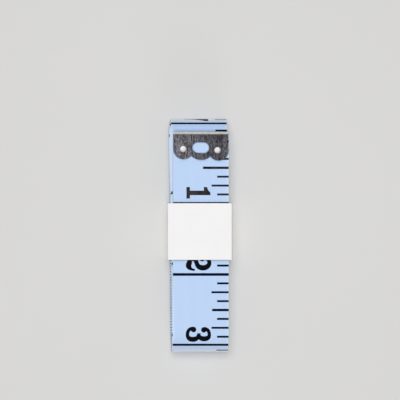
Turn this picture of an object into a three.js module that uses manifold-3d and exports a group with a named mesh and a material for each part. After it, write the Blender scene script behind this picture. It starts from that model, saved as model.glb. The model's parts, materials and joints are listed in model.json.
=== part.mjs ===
// A sewing tape measure: a coated cloth tape with a riveted metal clip on each end, wound flat
// and held by a paper band. Millimetres, +Z up. The part lies on z = 0 with the zero end of the
// tape on top and pointing along +Y. The origin is under the middle of the winding.
import * as THREE from "three";
import { mergeVertices } from "three/addons/utils/BufferGeometryUtils.js";
import Module from "manifold-3d";

const wasm = await Module();
wasm.setup();

// Tape
const tapeLength = 1524; // 60 inches between the outer ends of the two clips
const tapeWidth = 20;
const tapeThickness = 0.26;

// Winding
const layerGap = 0.42; // clear space between neighbouring layers
const windingTurns = 8; // whole turns outside the innermost loop
const coreRadius = 1.3; // bend radius of the innermost loop
const innerLeg = 40; // length of the far end that lies inside the innermost loop
const outerReach = 1.75; // how far the zero end passes the centre of the top bends
const frontShift = 0.36; // sideways place of the runs on the front
const backShift = -0.7; // sideways place of the runs on the back
const layerWander = 0.15; // uneven stacking of the layers, to either side
const wanderPhase = 2.4; // radians of wander from one turn to the next
const bendSteps = 12; // facets in a half-round bend

// Free stretch of the tape at the zero end
const flexGap = 0.3; // between the free stretch and the winding, where the tape flexes
const flexFromBand = 1; // from the band's edge to the line where the tape flexes
const freeEndRise = 1.2; // degrees that the free stretch stands off the winding

// End clips
const clipLength = 10.2;
const clipSheet = 0.25;
const clipInset = 0.2; // the clip is narrower than the tape by this much on each side
const clipFit = 0.05; // between the clip and the tape, and round a rivet's shank
const foldRadius = 0.6; // outside of the round bead where the sheet is folded
const sideLobeRadius = 3.55;
const middleLobeRadius = 4.87;
const windowWidth = 6.1;
const windowHeight = 4.1;
const windowFromEnd = 5.8; // from the folded end to the window's centre
const outlineSteps = 20; // facets in each arc of a stamped outline

// Rivets
const rivetHeadRadius = 1.2;
const rivetHeadHeight = 0.4;
const rivetShankRadius = 0.7;
const rivetTailRadius = 1.05;
const rivetTailHeight = 0.12;
const rivetSeat = 0.02; // between the clip's leaves and a rivet's head or tail
const leftRivetNearer = 0.42; // the left rivet sits this much nearer the folded end than its lobe's centre
const rightRivetInward = 0.25; // the right rivet sits this much nearer the middle than its lobe's centre
const rivetSides = 24;
const domeSteps = 6;

// Paper band
const bandLength = 20.2; // along the tape
const bandOffset = 1.42; // from the winding's middle to the band's, along the tape
const paperThickness = 0.2;
const bandClearance = 0.15; // above and below the winding
const bandSideClearance = 0.47; // beside the layer that stands out most
const bandCorner = 0.6; // bend radius at the middle of the paper
const seamOverlap = 9; // where the two ends of the paper lie over each other
const seamGap = 0.1; // between those two ends
const glueThickness = 0.08;
const glueMargin = 1.5; // from the glue to the edges of the overlap
const cornerSteps = 6;

// Sizes that follow from those above
const layerPitch = tapeThickness + layerGap;
const runRadius = (turn) => coreRadius + (windingTurns - turn) * layerPitch;
const outerRadius = runRadius(0);
const clipHalfInside = tapeThickness / 2 + clipFit;
const clipHalfOutside = clipHalfInside + clipSheet;
const clipHalfWidth = tapeWidth / 2 - clipInset;
const lobeX = clipHalfWidth - sideLobeRadius;
const lobeFromEnd = clipLength - sideLobeRadius;
const rivetHoleRadius = rivetShankRadius + clipFit;
const rivetPlaces = [
  { side: "left", x: -lobeX, fromEnd: lobeFromEnd - leftRivetNearer },
  { side: "right", x: lobeX - rightRivetInward, fromEnd: lobeFromEnd },
];
const runHalf = halfRunLength();
const windingHalfHeight = outerRadius + tapeThickness / 2;
const windingMiddleY = layerPitch / 4; // the top bends reach this much less than half a pitch further
const paperUnder = 2 * paperThickness + seamGap;
const windingZ = paperUnder + bandClearance + windingHalfHeight;
const bandTopY = bandOffset + bandLength / 2;
const flexY = bandTopY + flexFromBand;
const zeroEndY = windingMiddleY + runHalf + outerReach;
const farEndY = windingMiddleY + runHalf - innerLeg;

// Half the straight run between two bends, from the length that the bends and the ends leave over.
function halfRunLength() {
  let bends = Math.PI * (coreRadius + coreRadius / 2);
  for (let turn = 0; turn < windingTurns; turn++) {
    bends += Math.PI * (2 * runRadius(turn) - layerPitch / 2);
  }
  const runs = 2 * windingTurns + 2;
  return (tapeLength - outerReach - innerLeg - bends) / (2 * runs);
}

function solidOf(geometry) {
  const bare = geometry.clone();
  bare.deleteAttribute("normal");
  bare.deleteAttribute("uv");
  const merged = mergeVertices(bare);
  return new wasm.Manifold(
    new wasm.Mesh({
      numProp: 3,
      vertProperties: merged.attributes.position.array,
      triVerts: new Uint32Array(merged.index.array),
    }),
  );
}

function geometryOf(solid) {
  const mesh = solid.getMesh();
  const geometry = new THREE.BufferGeometry();
  geometry.setAttribute("position", new THREE.BufferAttribute(mesh.vertProperties, 3));
  geometry.setIndex(new THREE.BufferAttribute(mesh.triVerts, 1));
  geometry.computeVertexNormals();
  return geometry;
}

function extrude(shape, depth) {
  return new THREE.ExtrudeGeometry(shape, { depth, bevelEnabled: false, curveSegments: outlineSteps });
}

// A shape drawn in (y, z), extruded along X and centred on x = 0.
function extrudeAlongX(shape, width) {
  const axes = new THREE.Matrix4().makeBasis(
    new THREE.Vector3(0, 1, 0),
    new THREE.Vector3(0, 0, 1),
    new THREE.Vector3(1, 0, 0),
  );
  return extrude(shape, width).translate(0, 0, -width / 2).applyMatrix4(axes);
}

// A shape drawn in (x, z), extruded along Y and centred on y = 0.
function extrudeAlongY(shape, length) {
  return extrude(shape, length).translate(0, 0, -length / 2).rotateX(Math.PI / 2);
}

function holePath(x, y, radius) {
  return new THREE.Path().absarc(x, y, radius, 0, 2 * Math.PI);
}

const tapeFinish = new THREE.MeshStandardMaterial({ color: 0xb4d2f5, roughness: 0.55, metalness: 0 });
const clipFinish = new THREE.MeshStandardMaterial({ color: 0x5a5757, roughness: 0.35, metalness: 1 });
const rivetFinish = new THREE.MeshStandardMaterial({ color: 0xe6e4e2, roughness: 0.3, metalness: 1 });
const paperFinish = new THREE.MeshStandardMaterial({ color: 0xf6f5f6, roughness: 0.9, metalness: 0 });
const glueFinish = new THREE.MeshStandardMaterial({ color: 0xe9e2c8, roughness: 0.4, metalness: 0 });

function piece(name, geometry, material) {
  const mesh = new THREE.Mesh(geometry, material);
  mesh.name = name;
  return mesh;
}

// Where the middle of the tape lies, from the flexing line to the far end: each station has its
// place across (x), along (y) and up (z), and the direction (ny, nz) in which the scale side faces.
function windingStations() {
  const stations = [];
  const wander = (turn) => layerWander * Math.sin(wanderPhase * turn);
  const put = (x, y, z, ny, nz) => stations.push({ x, y: y + windingMiddleY, z: z + windingZ, ny, nz });
  // A half-round bend about (y, z) that starts at the angle given and turns by 180 degrees.
  const bend = (y, z, radius, startAngle, fromX, toX) => {
    for (let step = 0; step <= bendSteps; step++) {
      const share = step / bendSteps;
      const angle = startAngle + Math.PI * share;
      const eased = share * share * (3 - 2 * share);
      const cos = Math.cos(angle);
      const sin = Math.sin(angle);
      put(fromX + (toX - fromX) * eased, y + radius * cos, z + radius * sin, cos, sin);
    }
  };
  put(frontShift, flexY - flexGap / 2 - windingMiddleY, outerRadius, 0, 1);
  for (let turn = 0; turn <= windingTurns; turn++) {
    const frontX = frontShift + wander(turn);
    const backX = backShift + wander(turn);
    const nextX = frontShift + wander(turn + 1);
    const nextZ = turn < windingTurns ? runRadius(turn + 1) : 0;
    const radius = runRadius(turn);
    bend(-runHalf, 0, radius, Math.PI / 2, frontX, backX);
    bend(runHalf, (nextZ - radius) / 2, (nextZ + radius) / 2, -Math.PI / 2, backX, nextX);
  }
  const end = stations[stations.length - 1];
  put(end.x, farEndY + foldRadius - windingMiddleY, 0, 0, 1);
  return stations;
}

// A closed strip of the tape's section, carried along the stations.
function tapeStrip(stations) {
  const section = [[1, 1], [1, -1], [-1, -1], [-1, 1]]; // side and face of each corner
  const corners = [];
  for (const { x, y, z, ny, nz } of stations) {
    for (const [side, face] of section) {
      const out = (face * tapeThickness) / 2;
      corners.push(x + (side * tapeWidth) / 2, y + out * ny, z + out * nz);
    }
  }
  const faces = [];
  const quad = (a, b, c, d) => faces.push(a, b, c, a, c, d);
  const ring = (station) => section.map((corner, index) => station * section.length + index);
  quad(...ring(0));
  quad(...ring(stations.length - 1).reverse());
  for (let station = 1; station < stations.length; station++) {
    const here = ring(station - 1);
    const there = ring(station);
    section.forEach((corner, index) => {
      const next = (index + 1) % section.length;
      quad(here[index], there[index], there[next], here[next]);
    });
  }
  const geometry = new THREE.BufferGeometry();
  geometry.setAttribute("position", new THREE.Float32BufferAttribute(corners, 3));
  geometry.setIndex(faces);
  return geometry;
}

// The least clear space between layers of the winding, measured from each station to each stretch
// of tape that isn't its own bend.
function leastGap(stations) {
  const ownBend = (Math.PI * coreRadius) / 2;
  const along = [0];
  for (let i = 1; i < stations.length; i++) {
    const a = stations[i - 1];
    const b = stations[i];
    along.push(along[i - 1] + Math.hypot(b.y - a.y, b.z - a.z));
  }
  const line = new THREE.Line3();
  const near = new THREE.Vector3();
  let least = Infinity;
  stations.forEach((station, i) => {
    const point = new THREE.Vector3(0, station.y, station.z);
    for (let j = 1; j < stations.length; j++) {
      const apart = i < j ? along[j - 1] - along[i] : along[i] - along[j];
      if (apart < ownBend) continue;
      line.start.set(0, stations[j - 1].y, stations[j - 1].z);
      line.end.set(0, stations[j].y, stations[j].z);
      line.closestPointToPoint(point, true, near);
      least = Math.min(least, near.distanceTo(point) - tapeThickness);
    }
  });
  return least;
}

// The outline of a clip seen from above, its folded end on y = 0 and its lobes towards -Y.
function clipOutline() {
  const sideY = -lobeFromEnd;
  const middleY = middleLobeRadius - clipLength;
  // Where a side lobe's circle meets the middle lobe's.
  const away = Math.hypot(lobeX, middleY - sideY);
  const reach = (away ** 2 + middleLobeRadius ** 2 - sideLobeRadius ** 2) / (2 * away);
  const turnToNotch = Math.acos(reach / middleLobeRadius);
  const notch = Math.atan2(sideY - middleY, lobeX) - turnToNotch;
  const notchX = middleLobeRadius * Math.cos(notch);
  const notchY = middleY + middleLobeRadius * Math.sin(notch);
  const sideNotch = Math.atan2(notchY - sideY, notchX - lobeX);
  const outline = new THREE.Shape();
  outline.moveTo(clipHalfWidth, 0);
  outline.lineTo(-clipHalfWidth, 0);
  outline.lineTo(-clipHalfWidth, sideY);
  outline.absarc(-lobeX, sideY, sideLobeRadius, Math.PI, -Math.PI - sideNotch + 2 * Math.PI, false);
  outline.absarc(0, middleY, middleLobeRadius, -Math.PI - notch, notch, false);
  outline.absarc(lobeX, sideY, sideLobeRadius, sideNotch, 0, false);
  for (const { x, fromEnd } of rivetPlaces) {
    outline.holes.push(holePath(x, -fromEnd, rivetHoleRadius));
  }
  const windowEnd = (windowWidth - windowHeight) / 2;
  const window = new THREE.Path();
  window.absarc(windowEnd, -windowFromEnd, windowHeight / 2, -Math.PI / 2, Math.PI / 2);
  window.absarc(-windowEnd, -windowFromEnd, windowHeight / 2, Math.PI / 2, (3 * Math.PI) / 2);
  outline.holes.push(window);
  return outline;
}

// The folded sheet seen from the side: two leaves and the round bead at the fold, which ends at y = 0.
function clipProfile() {
  const beadInside = foldRadius - clipSheet;
  const outerMeet = Math.PI - Math.asin(clipHalfOutside / foldRadius); // where the leaves run into the bead
  const innerMeet = Math.PI - Math.asin(clipHalfInside / beadInside);
  const profile = new THREE.Shape();
  profile.moveTo(-clipLength, -clipHalfOutside);
  profile.absarc(-foldRadius, 0, foldRadius, -outerMeet, outerMeet, false);
  profile.lineTo(-clipLength, clipHalfOutside);
  profile.lineTo(-clipLength, clipHalfInside);
  profile.absarc(-foldRadius, 0, beadInside, innerMeet, -innerMeet, true);
  profile.lineTo(-clipLength, -clipHalfInside);
  return profile;
}

function clipGeometry() {
  const folded = solidOf(extrudeAlongX(clipProfile(), tapeWidth));
  const depth = 4 * foldRadius;
  const stamped = solidOf(extrude(clipOutline(), depth).translate(0, 0, -depth / 2));
  return geometryOf(folded.intersect(stamped));
}

// A rivet on the Z axis: a domed head, a shank and a flattened tail.
function rivetGeometry() {
  const seat = clipHalfOutside + rivetSeat;
  const dome = new THREE.EllipseCurve(0, seat, rivetHeadRadius, rivetHeadHeight, 0, Math.PI / 2);
  const profile = [
    new THREE.Vector2(0, -seat - rivetTailHeight),
    new THREE.Vector2(rivetTailRadius, -seat - rivetTailHeight),
    new THREE.Vector2(rivetTailRadius, -seat),
    new THREE.Vector2(rivetShankRadius, -seat),
    new THREE.Vector2(rivetShankRadius, seat),
    ...dome.getPoints(domeSteps),
  ];
  profile[profile.length - 1].x = 0;
  return new THREE.LatheGeometry(profile, rivetSides).rotateX(Math.PI / 2);
}

// A clip and its two rivets, with the folded end at the group's origin and the leaves towards -Y.
function endClip(name) {
  const group = new THREE.Group();
  group.add(piece(name + "_clip", clipGeometry(), clipFinish));
  for (const { side, x, fromEnd } of rivetPlaces) {
    const rivet = piece(name + "_rivet_" + side, rivetGeometry(), rivetFinish);
    rivet.position.set(x, -fromEnd, 0);
    group.add(rivet);
  }
  return group;
}

// The wound part of the tape, with the holes for the far clip's rivets.
function tapeWinding() {
  const stations = windingStations();
  console.log("tape winding: least gap to itself " + leastGap(stations).toFixed(3) + " mm");
  const farX = stations[stations.length - 1].x;
  let solid = solidOf(tapeStrip(stations));
  for (const { x, fromEnd } of rivetPlaces) {
    const drill = new THREE.CylinderGeometry(rivetHoleRadius, rivetHoleRadius, coreRadius, rivetSides);
    drill.rotateX(Math.PI / 2).translate(farX - x, farEndY + fromEnd, windingZ);
    solid = solid.subtract(solidOf(drill));
  }
  return { mesh: piece("tape_winding", geometryOf(solid), tapeFinish), farX };
}

// The free stretch of the tape and its clip, in a group that stands on the flexing line.
function freeEnd() {
  const group = new THREE.Group();
  group.position.set(frontShift, flexY, windingZ + outerRadius);
  group.rotation.x = THREE.MathUtils.degToRad(freeEndRise);
  const reach = zeroEndY - flexY;
  const outline = new THREE.Shape();
  outline.moveTo(-tapeWidth / 2, flexGap / 2);
  outline.lineTo(tapeWidth / 2, flexGap / 2);
  outline.lineTo(tapeWidth / 2, reach - foldRadius);
  outline.lineTo(-tapeWidth / 2, reach - foldRadius);
  for (const { x, fromEnd } of rivetPlaces) {
    outline.holes.push(holePath(x, reach - fromEnd, rivetHoleRadius));
  }
  const strip = extrude(outline, tapeThickness).translate(0, 0, -tapeThickness / 2);
  group.add(piece("tape_free_end", strip, tapeFinish));
  const clip = endClip("zero_end");
  clip.position.y = reach;
  group.add(clip);
  return group;
}

// The strip of paper seen along the tape: once round the winding, its ends lying over each other below.
function bandOutline() {
  const layerStands = Math.max(Math.abs(frontShift), Math.abs(backShift)) + layerWander;
  const halfWidth = tapeWidth / 2 + layerStands + bandSideClearance + paperThickness / 2;
  const top = windingZ + windingHalfHeight + bandClearance + paperThickness / 2;
  const under = paperThickness / 2;
  const inner = under + paperThickness + seamGap;
  const middle = [];
  const corner = (x, z, startAngle) => {
    for (let step = 0; step <= cornerSteps; step++) {
      const angle = startAngle + (Math.PI / 2) * (step / cornerSteps);
      middle.push({ x: x + bandCorner * Math.cos(angle), z: z + bandCorner * Math.sin(angle), angle });
    }
  };
  middle.push({ x: -seamOverlap / 2, z: inner, angle: -Math.PI / 2 });
  corner(halfWidth - bandCorner, inner + bandCorner, -Math.PI / 2);
  corner(halfWidth - bandCorner, top - bandCorner, 0);
  corner(bandCorner - halfWidth, top - bandCorner, Math.PI / 2);
  corner(bandCorner - halfWidth, under + bandCorner, Math.PI);
  middle.push({ x: seamOverlap / 2, z: under, angle: -Math.PI / 2 });
  const face = (out) =>
    middle.map(({ x, z, angle }) => new THREE.Vector2(x + out * Math.cos(angle), z + out * Math.sin(angle)));
  return new THREE.Shape([...face(paperThickness / 2), ...face(-paperThickness / 2).reverse()]);
}

function paperBand() {
  const group = new THREE.Group();
  group.position.y = bandOffset;
  group.add(piece("paper_band", extrudeAlongY(bandOutline(), bandLength), paperFinish));
  const glueWidth = seamOverlap - 2 * glueMargin;
  const glue = new THREE.BoxGeometry(glueWidth, bandLength - 2 * glueMargin, glueThickness);
  glue.translate(0, 0, paperThickness + seamGap / 2);
  group.add(piece("band_glue", glue, glueFinish));
  return group;
}

const tapeMeasure = new THREE.Group();
const winding = tapeWinding();
const farClip = endClip("far_end");
farClip.position.set(winding.farX, farEndY, windingZ);
farClip.rotation.z = Math.PI;
tapeMeasure.add(winding.mesh, farClip, freeEnd(), paperBand());

export default tapeMeasure;
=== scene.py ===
import json
import math

import bmesh
import bpy
import numpy as np
from mathutils.geometry import delaunay_2d_cdt
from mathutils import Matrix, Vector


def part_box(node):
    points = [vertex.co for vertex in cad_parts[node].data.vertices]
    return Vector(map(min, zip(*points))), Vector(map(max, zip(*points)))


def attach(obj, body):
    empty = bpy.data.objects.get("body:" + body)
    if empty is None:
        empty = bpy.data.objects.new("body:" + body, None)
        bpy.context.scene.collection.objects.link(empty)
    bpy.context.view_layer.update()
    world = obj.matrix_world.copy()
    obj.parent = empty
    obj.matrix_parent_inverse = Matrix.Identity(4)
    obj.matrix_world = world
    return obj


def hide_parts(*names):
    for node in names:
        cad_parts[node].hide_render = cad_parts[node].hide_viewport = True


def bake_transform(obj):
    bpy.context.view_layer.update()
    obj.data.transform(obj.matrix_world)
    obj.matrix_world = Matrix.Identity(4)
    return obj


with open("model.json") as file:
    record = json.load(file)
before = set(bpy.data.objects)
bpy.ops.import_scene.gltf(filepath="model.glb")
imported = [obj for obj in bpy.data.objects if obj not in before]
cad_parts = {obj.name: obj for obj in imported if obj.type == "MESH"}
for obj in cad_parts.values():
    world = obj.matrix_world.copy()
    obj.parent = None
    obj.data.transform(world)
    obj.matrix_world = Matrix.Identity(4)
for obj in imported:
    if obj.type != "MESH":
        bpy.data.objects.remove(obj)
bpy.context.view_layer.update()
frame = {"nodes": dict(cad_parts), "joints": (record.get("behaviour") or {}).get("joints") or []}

# Sizes are in millimetres until a mesh is made, and z = 0 is the surface that the tape measure lies on.
mm = 0.001
scene = bpy.context.scene
scene.view_settings.view_transform = "Standard"


# Camera, floor and light

photoFrame = {
    "pixels": 400,          # along each side of the picture
    "pixelsPerMm": 2.8,     # on the upper face of the tape
    "aim": (0.09, 12.68),   # what lies in the middle of the picture
    "faceHeight": 14.4,     # upper face of the tape
    "lens": 250.0,
    "sensor": 36.0,
}


def makeCamera():
    # straight above the tape: distance = seen width * lens / sensor
    data = bpy.data.cameras.new("photoCamera")
    data.lens = photoFrame["lens"]
    data.sensor_width = photoFrame["sensor"]
    camera = bpy.data.objects.new("photoCamera", data)
    seenWidth = photoFrame["pixels"] / photoFrame["pixelsPerMm"]
    distance = seenWidth * photoFrame["lens"] / photoFrame["sensor"]
    x, y = photoFrame["aim"]
    camera.location = (x * mm, y * mm, (photoFrame["faceHeight"] + distance) * mm)
    scene.collection.objects.link(camera)
    scene.camera = camera


studio = {
    "floorSize": 6.0,           # metres
    "floorDrop": 0.02,          # below the part, so that the two faces don't meet
    "floorFinish": {
        "colours": ((0.720, 0.716, 0.708), (0.705, 0.701, 0.693)),
        "grain": ((9, 9, 9), 0.3),
        "surface": {"Roughness": 0.9, "Specular IOR Level": 0.1},
    },
    "skyFill": 0.19,            # light from all round
    "skySeen": 0.72,            # what the camera sees of it
    "skyMirrored": (0.28, 1.15),        # what metal mirrors of it, from the darkest to the brightest
    "mirrorAxis": (-0.25, 0.42, 0.87),  # where the mirrored sky is brightest
    "mirrorSpan": (0.1, 1),     # how far towards that it brightens
    "lamps": {                  # watts, size and place in metres
        "softKey": (2.3, 0.28, (-0.035, 0.15, 0.79)),
        "overhead": (2.5, 0.03, (0, 0, 0.8)),
        "frontFill": (0.6, 0.3, (0.1, -0.6, 0.3)),
    },
}


def makeFloor():
    # a large pale square just under the part
    half = studio["floorSize"] / 2
    drop = -studio["floorDrop"] * mm
    mesh = bpy.data.meshes.new("floor")
    corners = [(-half, -half, drop), (half, -half, drop), (half, half, drop), (-half, half, drop)]
    mesh.from_pydata(corners, [], [(0, 1, 2, 3)])
    floor = bpy.data.objects.new("floor", mesh)
    scene.collection.objects.link(floor)
    mesh.materials.append(grainedFinish("paleFloor", studio["floorFinish"]))


def makeSky():
    # even light from all round, which metal mirrors as a sky that brightens towards one side
    world = bpy.data.worlds.new("studioSky")
    world.use_nodes = True
    scene.world = world
    tree = world.node_tree
    path = addNode(tree, "ShaderNodeLightPath")
    seen = addMath(tree, "MAXIMUM", path.outputs["Is Camera Ray"], path.outputs["Is Transmission Ray"])
    plain = addRamp(tree, seen, (0, 1), (studio["skyFill"], studio["skySeen"]))
    towards = addNode(tree, "ShaderNodeVectorMath", "DOT_PRODUCT")
    towards.inputs[0].default_value = studio["mirrorAxis"]
    feed(tree, towards.inputs[1], addNode(tree, "ShaderNodeTexCoord").outputs["Generated"])
    mirrored = addRamp(tree, towards.outputs["Value"], studio["mirrorSpan"], studio["skyMirrored"])
    background = tree.nodes["Background"]
    background.inputs["Color"].default_value = (1, 1, 1, 1)
    level = addRamp(tree, path.outputs["Is Glossy Ray"], (0, 1), (plain, mirrored))
    feed(tree, background.inputs["Strength"], level)


def makeLamps():
    # two above and a weak one in front, all turned to the origin
    for name, (power, size, place) in studio["lamps"].items():
        light = bpy.data.lights.new(name, "AREA")
        light.energy = power
        light.size = size
        lamp = bpy.data.objects.new(name, light)
        lamp.location = place
        lamp.rotation_euler = (-lamp.location).to_track_quat("-Z", "Y").to_euler()
        lamp.visible_glossy = False     # metal mirrors the sky alone
        scene.collection.objects.link(lamp)


# Shader helpers

def newMaterial(name, surface):
    # surface holds the shader's values that are the same all over
    material = bpy.data.materials.new(name)
    material.use_nodes = True
    shader = material.node_tree.nodes["Principled BSDF"]
    for socket, value in surface.items():
        shader.inputs[socket].default_value = value     # never linked, since they don't vary
    return material, material.node_tree, shader


def feed(tree, socket, value):
    # links another node's output, or sets a number or a colour
    if isinstance(value, bpy.types.NodeSocket):
        tree.links.new(value, socket)
    elif socket.type == "RGBA":
        socket.default_value = (*value, 1)
    else:
        socket.default_value = value


def addNode(tree, kind, operation=None, **values):
    node = tree.nodes.new(kind)
    if operation:
        node.operation = operation
    for socket, value in values.items():
        feed(tree, node.inputs[socket], value)
    return node


def addMath(tree, operation, *values):
    node = addNode(tree, "ShaderNodeMath", operation)
    for socket, value in zip(node.inputs, values):
        feed(tree, socket, value)
    return node.outputs[0]


def addRamp(tree, value, ends, results):
    # goes evenly from the first result at the first end to the second result at the second end
    node = addNode(tree, "ShaderNodeMapRange")
    sockets = ("Value", "From Min", "From Max", "To Min", "To Max")
    for socket, number in zip(sockets, (value, *ends, *results)):
        feed(tree, node.inputs[socket], number)
    return node.outputs["Result"]


def mixColours(tree, mask, low, high):
    # low where the mask is 0, high where it is 1
    node = addNode(tree, "ShaderNodeMix", Factor=mask)
    node.data_type = "RGBA"
    for socket, colour in zip(node.inputs[6:8], (low, high)):   # the two colour sockets
        feed(tree, socket, colour)
    return node.outputs[2]


def paint(tree, shader, mask, low, high):
    feed(tree, shader.inputs["Base Color"], mixColours(tree, mask, low, high))


def roughen(tree, shader, mask, ends):
    # from the first roughness where the mask is 0 to the second where it is 1
    feed(tree, shader.inputs["Roughness"], addRamp(tree, mask, (0, 1), ends))


def addBump(tree, shader, height, depth, strength):
    # depth in millimetres
    node = addNode(tree, "ShaderNodeBump", Strength=strength, Distance=depth * mm, Height=height)
    feed(tree, shader.inputs["Normal"], node.outputs["Normal"])


def objectPlace(tree):
    return addNode(tree, "ShaderNodeTexCoord").outputs["Object"]


def mapPlace(tree, uvName):
    node = addNode(tree, "ShaderNodeUVMap")
    node.uv_map = uvName
    return node.outputs["UV"]


def splitPlace(tree, place):
    node = addNode(tree, "ShaderNodeSeparateXYZ", Vector=place)
    return node.outputs["X"], node.outputs["Y"]


def newPattern(name):
    # a group that stretches a place, for a pattern on it that gives a mask
    group = bpy.data.node_groups.new(name, "ShaderNodeTree")
    for socket, kind in (("Place", "Vector"), ("Stretch", "Vector"), ("Contrast", "Float")):
        group.interface.new_socket(socket, in_out="INPUT", socket_type="NodeSocket" + kind)
    group.interface.new_socket("Mask", in_out="OUTPUT", socket_type="NodeSocketFloat")
    given = addNode(group, "NodeGroupInput").outputs
    stretched = addNode(group, "ShaderNodeVectorMath", "MULTIPLY")
    feed(group, stretched.inputs[0], given["Place"])
    feed(group, stretched.inputs[1], given["Stretch"])
    return group, stretched.outputs["Vector"], given["Contrast"]


def makeGrainGroup():
    # noise spread about its middle: mask = 0.5 + (noise - 0.5) / (2 * contrast)
    group, place, contrast = newPattern("stretchedGrain")
    noise = addNode(group, "ShaderNodeTexNoise", Vector=place, Scale=1.0, Detail=5.0, Roughness=0.6)
    ends = (addMath(group, "SUBTRACT", 0.5, contrast), addMath(group, "ADD", 0.5, contrast))
    addNode(group, "NodeGroupOutput", Mask=addRamp(group, noise.outputs["Fac"], ends, (0, 1)))
    return group


def makeWeaveGroup():
    # threads across and lengthwise: mask = contrast * (|sin x| + |sin y|)
    group, place, contrast = newPattern("coatedWeave")
    waves = [addMath(group, "SINE", way) for way in splitPlace(group, place)]
    threads = addMath(group, "ADD", *(addMath(group, "ABSOLUTE", wave) for wave in waves))
    addNode(group, "NodeGroupOutput", Mask=addMath(group, "MULTIPLY", threads, contrast))
    return group


def addGroup(tree, group, place, stretch, contrast):
    node = addNode(tree, "ShaderNodeGroup")
    node.node_tree = group
    for socket, value in (("Place", place), ("Stretch", stretch), ("Contrast", contrast)):
        feed(tree, node.inputs[socket], value)
    return node.outputs["Mask"]


grainGroup = makeGrainGroup()
weaveGroup = makeWeaveGroup()


# Finishes: a grain is given by its stretch and contrast, and a bump by its depth and strength

def grainedFinish(name, settings):
    # one grain mixes two colours, and drives the roughness and the bump too where they are given
    material, tree, shader = newMaterial(name, settings["surface"])
    grain = addGroup(tree, grainGroup, objectPlace(tree), *settings["grain"])
    paint(tree, shader, grain, *settings["colours"])
    if "roughness" in settings:
        roughen(tree, shader, grain, settings["roughness"])
    if "bump" in settings:
        addBump(tree, shader, grain, *settings["bump"])
    return material


cloth = {
    "map": "tapeMillimetres",           # across and along the tape
    "pale": (0.535, 0.680, 0.925),
    "deep": (0.465, 0.632, 0.910),
    "streak": ((0.5, 0.012, 0), 0.22),
    "cloud": ((0.12, 0.05, 0), 0.25),
    "rim": (0.640, 0.760, 0.940),       # painted highlight: paler along the two edges
    "highlightAcross": (9.3, 9.85),
    "bendShadeBlue": (0.470, 0.645, 0.985),     # painted shade: bluer between the clip's fold and the bend
    "bendShadeShare": 0.85,
    "bendAlong": (39.7 * mm, 40.5 * mm),
    "foldAlong": (36.8 * mm, 37.4 * mm),
    "lobesAlong": (26.4 * mm, 27.0 * mm),
    "outerAcross": (-9.7 * mm, -9.4 * mm),
    "paintedShade": (0.22, 0.30, 0.44),        # painted shade in corners, and a painted shadow line along the left-hand edge of the outermost run
    "shadowLineAcross": (-9.72, -9.92),
    "shadowLineAlong": (66.0, 44.0),
    "cornerReach": (0.4 * mm, 2.2 * mm),    # beside the clip, and above and below it
    "cornerShares": (0, 3.4),
    "covered": (0.1, 0.4),              # no painted shade where something lies on the cloth
    "threads": ((math.pi / 0.42, math.pi / 0.55, 0), 0.5),
    "threadBump": (0.03, 0.35),
    "roughness": (0.42, 0.54),
    "surface": {
        "Sheen Weight": 0.8,            # pale gleam where the tape turns away
        "Sheen Roughness": 0.5,
        "Coat Weight": 0.6,
        "Coat Roughness": 0.3,
    },
}


def cornerGrime(tree, reach):
    # painted shade: more of it the more is closed off within the reach, and none on covered cloth
    openShare = addNode(tree, "ShaderNodeAmbientOcclusion", Distance=reach).outputs["AO"]
    closed = addMath(tree, "MINIMUM", addRamp(tree, openShare, (1, 0), cloth["cornerShares"]), 1.0)
    return addMath(tree, "MULTIPLY", closed, addRamp(tree, openShare, cloth["covered"], (0, 1)))


def clothFinish():
    # streaked blue, paler along its edges as a painted highlight, bluer above the clip as painted
    # shade, with painted shade in corners and a painted shadow line on its left-hand edge, and a fine
    # weave
    material, tree, shader = newMaterial("coatedCloth", cloth["surface"])
    place = mapPlace(tree, cloth["map"])
    side, length = splitPlace(tree, place)
    x, y = splitPlace(tree, objectPlace(tree))
    onOuterRun = addRamp(tree, x, cloth["outerAcross"], (0, 1))
    aboveClip = addMath(tree, "MULTIPLY", addRamp(tree, y, cloth["foldAlong"], (0, 1)), onOuterRun)
    belowClip = addMath(tree, "MULTIPLY", addRamp(tree, y, cloth["lobesAlong"], (1, 0)), onOuterRun)

    streak = addGroup(tree, grainGroup, place, *cloth["streak"])
    cloud = addGroup(tree, grainGroup, place, *cloth["cloud"])
    mottle = addMath(tree, "MULTIPLY", addMath(tree, "ADD", streak, cloud), 0.5)
    handled = mixColours(tree, mottle, cloth["pale"], cloth["deep"])
    # painted shade: the cloth turns bluer between the clip's fold and the bend
    beforeBend = addRamp(tree, y, cloth["bendAlong"], (cloth["bendShadeShare"], 0))
    tint = mixColours(tree, addMath(tree, "MULTIPLY", aboveClip, beforeBend), handled, cloth["bendShadeBlue"])
    # painted highlight: paler along the two edges
    rim = addRamp(tree, addMath(tree, "ABSOLUTE", side), cloth["highlightAcross"], (0, 1))
    highlighted = mixColours(tree, rim, tint, cloth["rim"])

    # painted shadow line along the left-hand edge of the outermost run, fading out along it
    edge = addRamp(tree, side, cloth["shadowLineAcross"], (0, 1))
    edgeShadowLine = addMath(tree, "MULTIPLY", edge, addRamp(tree, length, cloth["shadowLineAlong"], (0, 1)))
    # painted shade in corners and under edges, reaching further above and below the clip
    reach = addRamp(tree, addMath(tree, "ADD", aboveClip, belowClip), (0, 1), cloth["cornerReach"])
    paintedShade = addMath(tree, "MAXIMUM", edgeShadowLine, cornerGrime(tree, reach))
    paint(tree, shader, paintedShade, highlighted, cloth["paintedShade"])
    roughen(tree, shader, streak, cloth["roughness"])
    addBump(tree, shader, addGroup(tree, weaveGroup, place, *cloth["threads"]), *cloth["threadBump"])
    return material


cutEdge = {
    "colours": ((0.42, 0.55, 0.76), (0.74, 0.82, 0.94)),
    "grain": ((900, 900, 5000), 0.2),
    "bump": (0.04, 0.5),
    "surface": {"Roughness": 0.75},
}

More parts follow.
